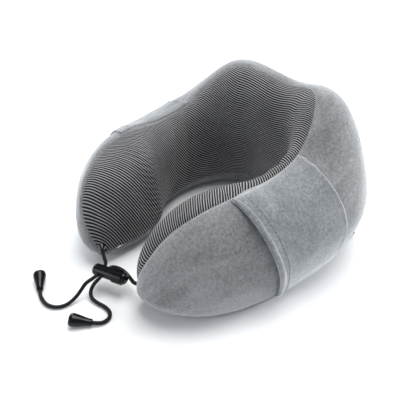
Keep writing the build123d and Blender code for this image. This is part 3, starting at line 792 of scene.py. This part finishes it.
# ---------------------------------------------------------------- pockets
POCKET_REAR_Y = 20.4
POCKET_FRONT_Y = -45.6
POCKET_FRONT_LEAN = radians(12.5)
POCKET_TOP_GAP = 0.03         # ways from the top seam
POCKET_BASE_WAY = 1.66
POCKET_ACROSS = 54
POCKET_ALONG = 44
POCKET_THICK = 1.2
HEM_HALF_WIDTH = 3.1
HEM_HALF_HEIGHT = 1.8
HEM_OVERLAP = 0.6
CREASE_TURNS = 62            # radians of crease over the pocket's width
CREASE_DEPTH = 1.2
STITCH_COLUMN = 7            # columns of the pocket's mesh behind its mouth
STITCH_LENGTH = 2.4
STITCH_PITCH = 3.3
STITCH_RADIUS = 0.32
STITCH_RINGS, STITCH_RING = 5, 6


def pocket_way(station, share):
    """Way of a point of the pocket, at a share of the distance from its top edge to its base."""
    top = blend(TOP_SEAM, station) + POCKET_TOP_GAP
    return top + (POCKET_BASE_WAY - top) * share


def station_where(test, share, low, high):
    for _ in range(26):
        middle = (low + high) / 2
        if test(skin_point(middle, pocket_way(middle, share))) > 0:
            low = middle
        else:
            high = middle
    return (low + high) / 2


def behind_mouth(point):
    """Distance behind the pocket's open front edge, positive inside the pocket."""
    return (point.y - POCKET_FRONT_Y) * cos(POCKET_FRONT_LEAN) + point.z * sin(POCKET_FRONT_LEAN)


MOUTH_SLACK = {1: 3.8, -1: 0.6}    # how far each pocket's mouth gapes, in millimetres


def pocket_lift(share_across, behind_front, from_rear, gape):
    """How far the pocket's cloth stands off the cover."""
    slack = sin(pi * share_across)
    mouth = gape * exp(-behind_front / 10) * slack ** 0.8
    stitched = 1.0 * exp(-(from_rear / 1.8) ** 2)
    ridge = 0.9 * bell(from_rear - 2.4, 1.2) * min(1, share_across * 8)
    return 0.6 + 0.34 * gape * slack + mouth - stitched + ridge


def pocket_wrinkles(point, share_across, from_rear, side):
    """Shallow creases that run round the arm near the top of the rear seam."""
    near_top = exp(-share_across / 0.22)
    near_rear = exp(-from_rear / 22)
    crease = sin(share_across * CREASE_TURNS + 3 * noise.noise(point / 22)) * CREASE_DEPTH
    uneven = 0.5 * noise.noise(point / 30 + Vector((side, 9, 4)))
    return (crease * near_top * near_rear + uneven) * min(1, share_across * 9)


def make_pocket(side, name):
    """Pocket cloth over one arm, with its rolled front hem and its stitches."""
    rows, uvs, front = [], [], []
    for share in span(0, 1, POCKET_ACROSS):
        rear_station = station_where(lambda p: p.y - POCKET_REAR_Y, share, 0.1, 0.6)
        front_station = station_where(behind_mouth, share, 0.2, 0.8)
        stations = span(rear_station, front_station, POCKET_ALONG)
        skin = [skin_point(side * s, pocket_way(s, share)) for s in stations]
        lengths = row_lengths(skin)
        row = []
        for station, point, length in zip(stations, skin, lengths):
            out = skin_normal(side * station, pocket_way(station, share))
            behind = lengths[-1] - length
            rise = (max(soft_waves(point), -1.2)
                    + pocket_lift(share, behind, length, MOUTH_SLACK[side]))
            rise += pocket_wrinkles(point, share, length, side)
            edge = min(share, 1 - share) * 150
            rise -= 0.7 * exp(-(edge / 3.5) ** 2)
            row.append((point + out * rise, out))
        rows.append(row)
        front.append((row[-1][0], row[-1][1], (skin[-1] - skin[-2]).normalized(), share))
        uvs.append([(length, share * 120) for length in lengths])
    if side > 0:
        rows, uvs = rows[::-1], uvs[::-1]
    panel = grid_mesh(f"pocket_{name}", rows, uvs, POCKET_CLOTH, POCKET_THICK)
    hem = make_hem(front, side, name)
    thread = make_stitches(f"pocket_stitches_{name}", [row[-1 - STITCH_COLUMN] for row in rows])
    for piece, node in ((panel, "pocket_panel_"), (hem, "pocket_hem_")):
        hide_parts(node + name)
        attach(piece, "root")
    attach(thread, "root")


def make_hem(front, side, name):
    """The rolled front edge: an oval roll that follows the pocket's mouth."""
    ring = 14
    points, uvs = [], []
    total = 0.0
    previous = None
    for edge, out, ahead, share in front:
        lift = 0.15 + 0.35 * sin(pi * share) if side > 0 else -0.4
        middle = edge + out * lift - ahead * (HEM_HALF_WIDTH - HEM_OVERLAP)
        total += (middle - previous).length if previous else 0
        previous = middle
        squeeze = 0.28 + 0.72 * min(1, min(share * 6, (1 - share) * 14))
        squeeze *= 1 if side > 0 else 0.6
        plump = 1 + 0.10 * noise.noise(Vector((total / 9, side * 5.0, 0)))
        for k in range(ring):
            turn = 2 * pi * k / ring
            points.append((middle + ahead * (cos(turn) * HEM_HALF_WIDTH * squeeze)
                           + out * (sin(turn) * HEM_HALF_HEIGHT * squeeze * plump)) * MM)
            uvs.append((total * MM, k * 1.2 * MM))
    mesh = bpy.data.meshes.new(f"pocket_hem_{name}")
    mesh.from_pydata(points, [], tube_faces(len(front), ring, flipped=side < 0))
    layer = mesh.uv_layers.new(name="cloth")
    for loop in mesh.loops:
        layer.data[loop.index].uv = uvs[loop.vertex_index]
    mesh.materials.append(POCKET_CLOTH)
    mesh.polygons.foreach_set("use_smooth", [True] * len(mesh.polygons))
    return add_piece(f"pocket_hem_roll_{name}", mesh)


def make_stitches(name, line):
    """Sewing thread along a line of (point, outward): short stitches that dip at both ends."""
    points, faces = [], []
    places = row_lengths([point for point, out in line])
    at = STITCH_PITCH
    while at + STITCH_LENGTH < places[-1] - STITCH_PITCH:
        stitch = []
        for part in span(0, 1, STITCH_RINGS):
            want = at + part * STITCH_LENGTH
            i = max(k for k, place in enumerate(places) if place <= want)
            f = (want - places[i]) / (places[i + 1] - places[i])
            point = line[i][0].lerp(line[i + 1][0], f)
            out = line[i][1].lerp(line[i + 1][1], f).normalized()
            stitch.append((point + out * (0.35 * sin(pi * part) - 0.12), out))
        start = len(points)
        ahead = (stitch[-1][0] - stitch[0][0]).normalized()
        for k, (point, out) in enumerate(stitch):
            sideways = ahead.cross(out)
            thin = STITCH_RADIUS * (0.45 if k in (0, STITCH_RINGS - 1) else 1)
            for corner in range(STITCH_RING):
                turn = corner * pi * 2 / STITCH_RING
                points.append((point + (out * sin(turn) + sideways * cos(turn)) * thin) * MM)
        faces += tube_faces(STITCH_RINGS, STITCH_RING, flipped=True, start=start)
        at += STITCH_PITCH
    return solid_piece(name, points, faces, THREAD)


# ---------------------------------------------------------------- cords
BRAID_CARRIERS = 8
BRAID_PITCH = 7.0 * MM
BRAID_STEP = 0.42 * MM
BRAID_RING = 24


def curve_points(name, route):
    """Points along the smooth line that has the route as its control points."""
    curve = bpy.data.curves.new(name + "_line", "CURVE")
    curve.dimensions = "3D"
    curve.resolution_u = 24
    spline = curve.splines.new("NURBS")
    spline.points.add(len(route) - 1)
    for place, point in zip(spline.points, route):
        place.co = (*point, 1)
    spline.order_u = 3
    spline.use_endpoint_u = True
    holder = bpy.data.objects.new(name + "_line", curve)
    scene.collection.objects.link(holder)
    bpy.context.view_layer.update()
    depsgraph = bpy.context.evaluated_depsgraph_get()
    mesh = bpy.data.meshes.new_from_object(holder.evaluated_get(depsgraph))
    points = [vertex.co.copy() for vertex in mesh.vertices]
    bpy.data.objects.remove(holder)
    bpy.data.curves.remove(curve)
    bpy.data.meshes.remove(mesh)
    return points


def even_points(points, step):
    """Points at even steps along a line, and the line's length."""
    lengths = row_lengths(points)
    count = max(2, round(lengths[-1] / step))
    made, k = [], 0
    for i in range(count + 1):
        want = lengths[-1] * i / count
        while k < len(points) - 2 and lengths[k + 1] < want:
            k += 1
        f = (want - lengths[k]) / (lengths[k + 1] - lengths[k])
        made.append(points[k].lerp(points[k + 1], f))
    return made, lengths[-1]


def braided_cord(name, route):
    """A round braid: two sets of strands that wind opposite ways and pass over each other."""
    path, length = even_points(curve_points(name, route), BRAID_STEP)
    points = []
    side = Vector((0, 0, 1)).cross(path[1] - path[0]).normalized()
    for i, point in enumerate(path):
        ahead = (path[min(i + 1, len(path) - 1)] - path[max(i - 1, 0)]).normalized()
        side = (side - ahead * side.dot(ahead)).normalized()
        over = ahead.cross(side)
        along = length * i / (len(path) - 1)
        for k in range(BRAID_RING):
            turn = 2 * pi * k / BRAID_RING
            lead = turn * BRAID_CARRIERS / 2 + along * 2 * pi / BRAID_PITCH * 4
            back = turn * BRAID_CARRIERS / 2 - along * 2 * pi / BRAID_PITCH * 4
            weave = max(cos(lead), cos(back)) * 0.5
            radius = CORD_DIAMETER / 2 * (0.92 + 0.16 * weave)
            points.append(point + (side * cos(turn) + over * sin(turn)) * radius)
    cord = solid_piece(name, points, tube_faces(len(path), BRAID_RING), BRAID)
    return cord, path, length


def make_spring():
    """The lock's spring: a coil of wire that fills the room between the barrel's shoulder and the
    plunger's head.
    """
    steps = SPRING_TURNS * 32
    ring = 10
    rise = (SPRING_ROOM - 2 * (SPRING_WIRE + SPRING_CLEARANCE)) / steps
    slant = rise * steps / (SPRING_TURNS * 2 * pi * SPRING_RADIUS)
    points = []
    for i in range(steps + 1):
        turn = 2 * pi * SPRING_TURNS * i / steps
        for k in range(ring):
            round_wire = 2 * pi * k / ring
            out = SPRING_RADIUS + SPRING_WIRE * cos(round_wire)
            lift = SPRING_WIRE * sin(round_wire)
            twist = -lift * slant / SPRING_RADIUS
            points.append(lock_point(SPRING_WIRE + SPRING_CLEARANCE + rise * i + lift,
                                     out * cos(turn + twist), out * sin(turn + twist)))
    spring = solid_piece("lock_spring_wire", points, tube_faces(steps + 1, ring), STEEL)
    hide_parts("cord_lock_spring")
    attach(spring, "root")
    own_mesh(spring)
    return spring


def make_cords():
    spring = make_spring()
    for side, route in (("left", LEFT_ROUTE), ("right", RIGHT_ROUTE)):
        cord, path, length = braided_cord(f"cord_{side}", route)
        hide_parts(f"drawcord_{side}")
        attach(cord, "root")
        riders = [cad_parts[f"cord_end_{piece}_{side}"] for piece in ("bell", "plug")]
        if side == "left":
            riders += [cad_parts["cord_lock_barrel"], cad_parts["cord_lock_plunger"],
                       spring]


# ---------------------------------------------------------------- carried-over pieces
def dress(node, material):
    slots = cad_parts[node].data.materials
    slots.clear()
    slots.append(material)


def dress_frame():
    for node in ("cord_lock_barrel", "cord_lock_plunger", "cord_end_bell_left",
                 "cord_end_bell_right", "cord_end_plug_left", "cord_end_plug_right"):
        dress(node, PLASTIC)
    for node in ("zip_slider", "zip_pull", "zip_stop_left", "zip_stop_right"):
        dress(node, METAL)
    for node in ("cord_anchor_left", "cord_anchor_right"):
        dress(node, BRAID)
    dress("foam_core", FOAM)
    dress("core_liner", LINER)
    dress("zip_tape_upper", TAPE)
    dress("zip_tape_lower", TAPE)
    dress("care_label", RIBBON)


# ---------------------------------------------------------------- zip coils
ZIP_CENTRE = Vector((0, -1.6, 0))
ZIP_HALF_TURN = radians(62.0)
TOOTH_PITCH = 1.45
TOOTH_STEPS = 8
COIL_WIRE = 0.36
COIL_RING = 5
COIL_MIDDLE = 1.75          # from the zip's middle to the middle of each loop
COIL_REACH = 1.25           # and from there to the loop's two ends
COIL_OUTER_SHARE = 0.85     # the end away from the zip's middle reaches this share of that
COIL_DEPTH = 0.42


def zip_frame(turn):
    """Origin, up the tape and outwards at an angle from the middle of the back."""
    radius, rise, out_flat, out_up = ZIP_SHAPE
    radial = Vector((sin(turn), cos(turn), 0))
    up = Vector((0, 0, 1))
    return (ZIP_CENTRE + radial * radius + up * rise, up * out_flat - radial * out_up,
            radial * out_flat + up * out_up)


def zip_shape():
    """Radius, height and outward direction of the middle of the zip, at the back."""
    section = Section.at(0.0)
    here = section.point(ZIP_WAY)
    run = section.point(ZIP_WAY + WAY_STEP) - section.point(ZIP_WAY - WAY_STEP)
    size = hypot(run.y, run.z)
    return here.y - ZIP_CENTRE.y, here.z, -run.z / size, run.y / size


ZIP_SHAPE = zip_shape()


def make_coil(name, side):
    """One side of the nylon coil: a flattened helix whose loops meet the other side's."""
    radius = ZIP_SHAPE[0]
    teeth = int(2 * ZIP_HALF_TURN * radius / TOOTH_PITCH)
    ring = COIL_RING
    path = []
    for i in range(teeth * TOOTH_STEPS):
        turn = -ZIP_HALF_TURN + 2 * ZIP_HALF_TURN * i / (teeth * TOOTH_STEPS)
        phase = 2 * pi * (i % TOOTH_STEPS) / TOOTH_STEPS
        origin, up, out = zip_frame(turn)
        reach = COIL_REACH * cos(phase) * (1.0 if cos(phase) > 0 else COIL_OUTER_SHARE)
        path.append(origin + up * (side * (COIL_MIDDLE - reach)) + out * (COIL_DEPTH * sin(phase)))
    points, faces = [], []
    for i, point in enumerate(path):
        ahead = (path[min(i + 1, len(path) - 1)] - path[max(i - 1, 0)]).normalized()
        first = ahead.orthogonal().normalized()
        second = ahead.cross(first)
        for k in range(ring):
            turn = 2 * pi * k / ring
            points.append((point + (first * cos(turn) + second * sin(turn)) * COIL_WIRE) * MM)
    for i in range(len(path) - 1):
        nearest = min(range(ring),
                      key=lambda k: (points[(i + 1) * ring + k] - points[i * ring]).length)
        for k in range(ring):
            a, b = i * ring + k, i * ring + (k + 1) % ring
            c = (i + 1) * ring + (k + nearest) % ring
            d = (i + 1) * ring + (k + 1 + nearest) % ring
            faces.append((a, b, d, c))
    faces.append(tuple(range(ring))[::-1])
    faces.append(tuple((len(path) - 1) * ring + k for k in range(ring)))
    return solid_piece(name, points, faces, NYLON)


def make_zip():
    for name, side in (("upper", 1), ("lower", -1)):
        coil = make_coil(f"coil_{name}", side)
        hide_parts(f"zip_coil_{name}")
        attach(coil, "root")


# ---------------------------------------------------------------- stage
LIGHT_AIM = Vector((0, 0, 0.05))
FLOOR_HALF = 4.0
FLOOR_DROP = 0.0003         # just below the pillow, so that the two never share a plane


def make_light(name, place, size, power, colour):
    light = bpy.data.objects.new(name, bpy.data.lights.new(name, "AREA"))
    light.data.shape = "RECTANGLE"
    light.data.size, light.data.size_y = size
    light.data.energy = power
    light.data.color = colour
    light.location = place
    light.rotation_euler = (Vector(place) - LIGHT_AIM).to_track_quat("Z", "Y").to_euler()
    scene.collection.objects.link(light)


def make_stage():
    half = FLOOR_HALF
    mesh = bpy.data.meshes.new("floor")
    mesh.from_pydata([(-half, -half, 0), (half, -half, 0), (half, half, 0), (-half, half, 0)], [],
                     [(0, 1, 2, 3)])
    mesh.materials.append(plain_floor())
    plane = add_piece("floor", mesh)
    plane.location.z = -FLOOR_DROP
    world = bpy.data.worlds.new("studio")
    world.use_nodes = True
    background = world.node_tree.nodes["Background"]
    background.inputs["Color"].default_value = (0.90, 0.95, 1.0, 1)
    background.inputs["Strength"].default_value = 0.35
    scene.world = world
    make_light("overhead", (0.0, 0.35, 1.6), (1.3, 1.1), 30.0, (1.0, 0.99, 0.975))
    make_light("right_back", (0.8, 1.4, 0.5), (1.0, 0.7), 29.0, (0.97, 0.985, 1.0))
    make_light("left_back", (-1.4, 0.35, 0.5), (0.9, 0.7), 16.0, (0.97, 0.985, 1.0))
    make_light("front", (-0.3, -1.5, 0.6), (1.2, 0.8), 9.0, (0.96, 0.98, 1.0))
    scene.view_settings.view_transform = "Standard"


make_cords()
make_cover()
make_facings()
make_pocket(1, "right")
make_pocket(-1, "left")
make_zip()
dress_frame()
make_stage()
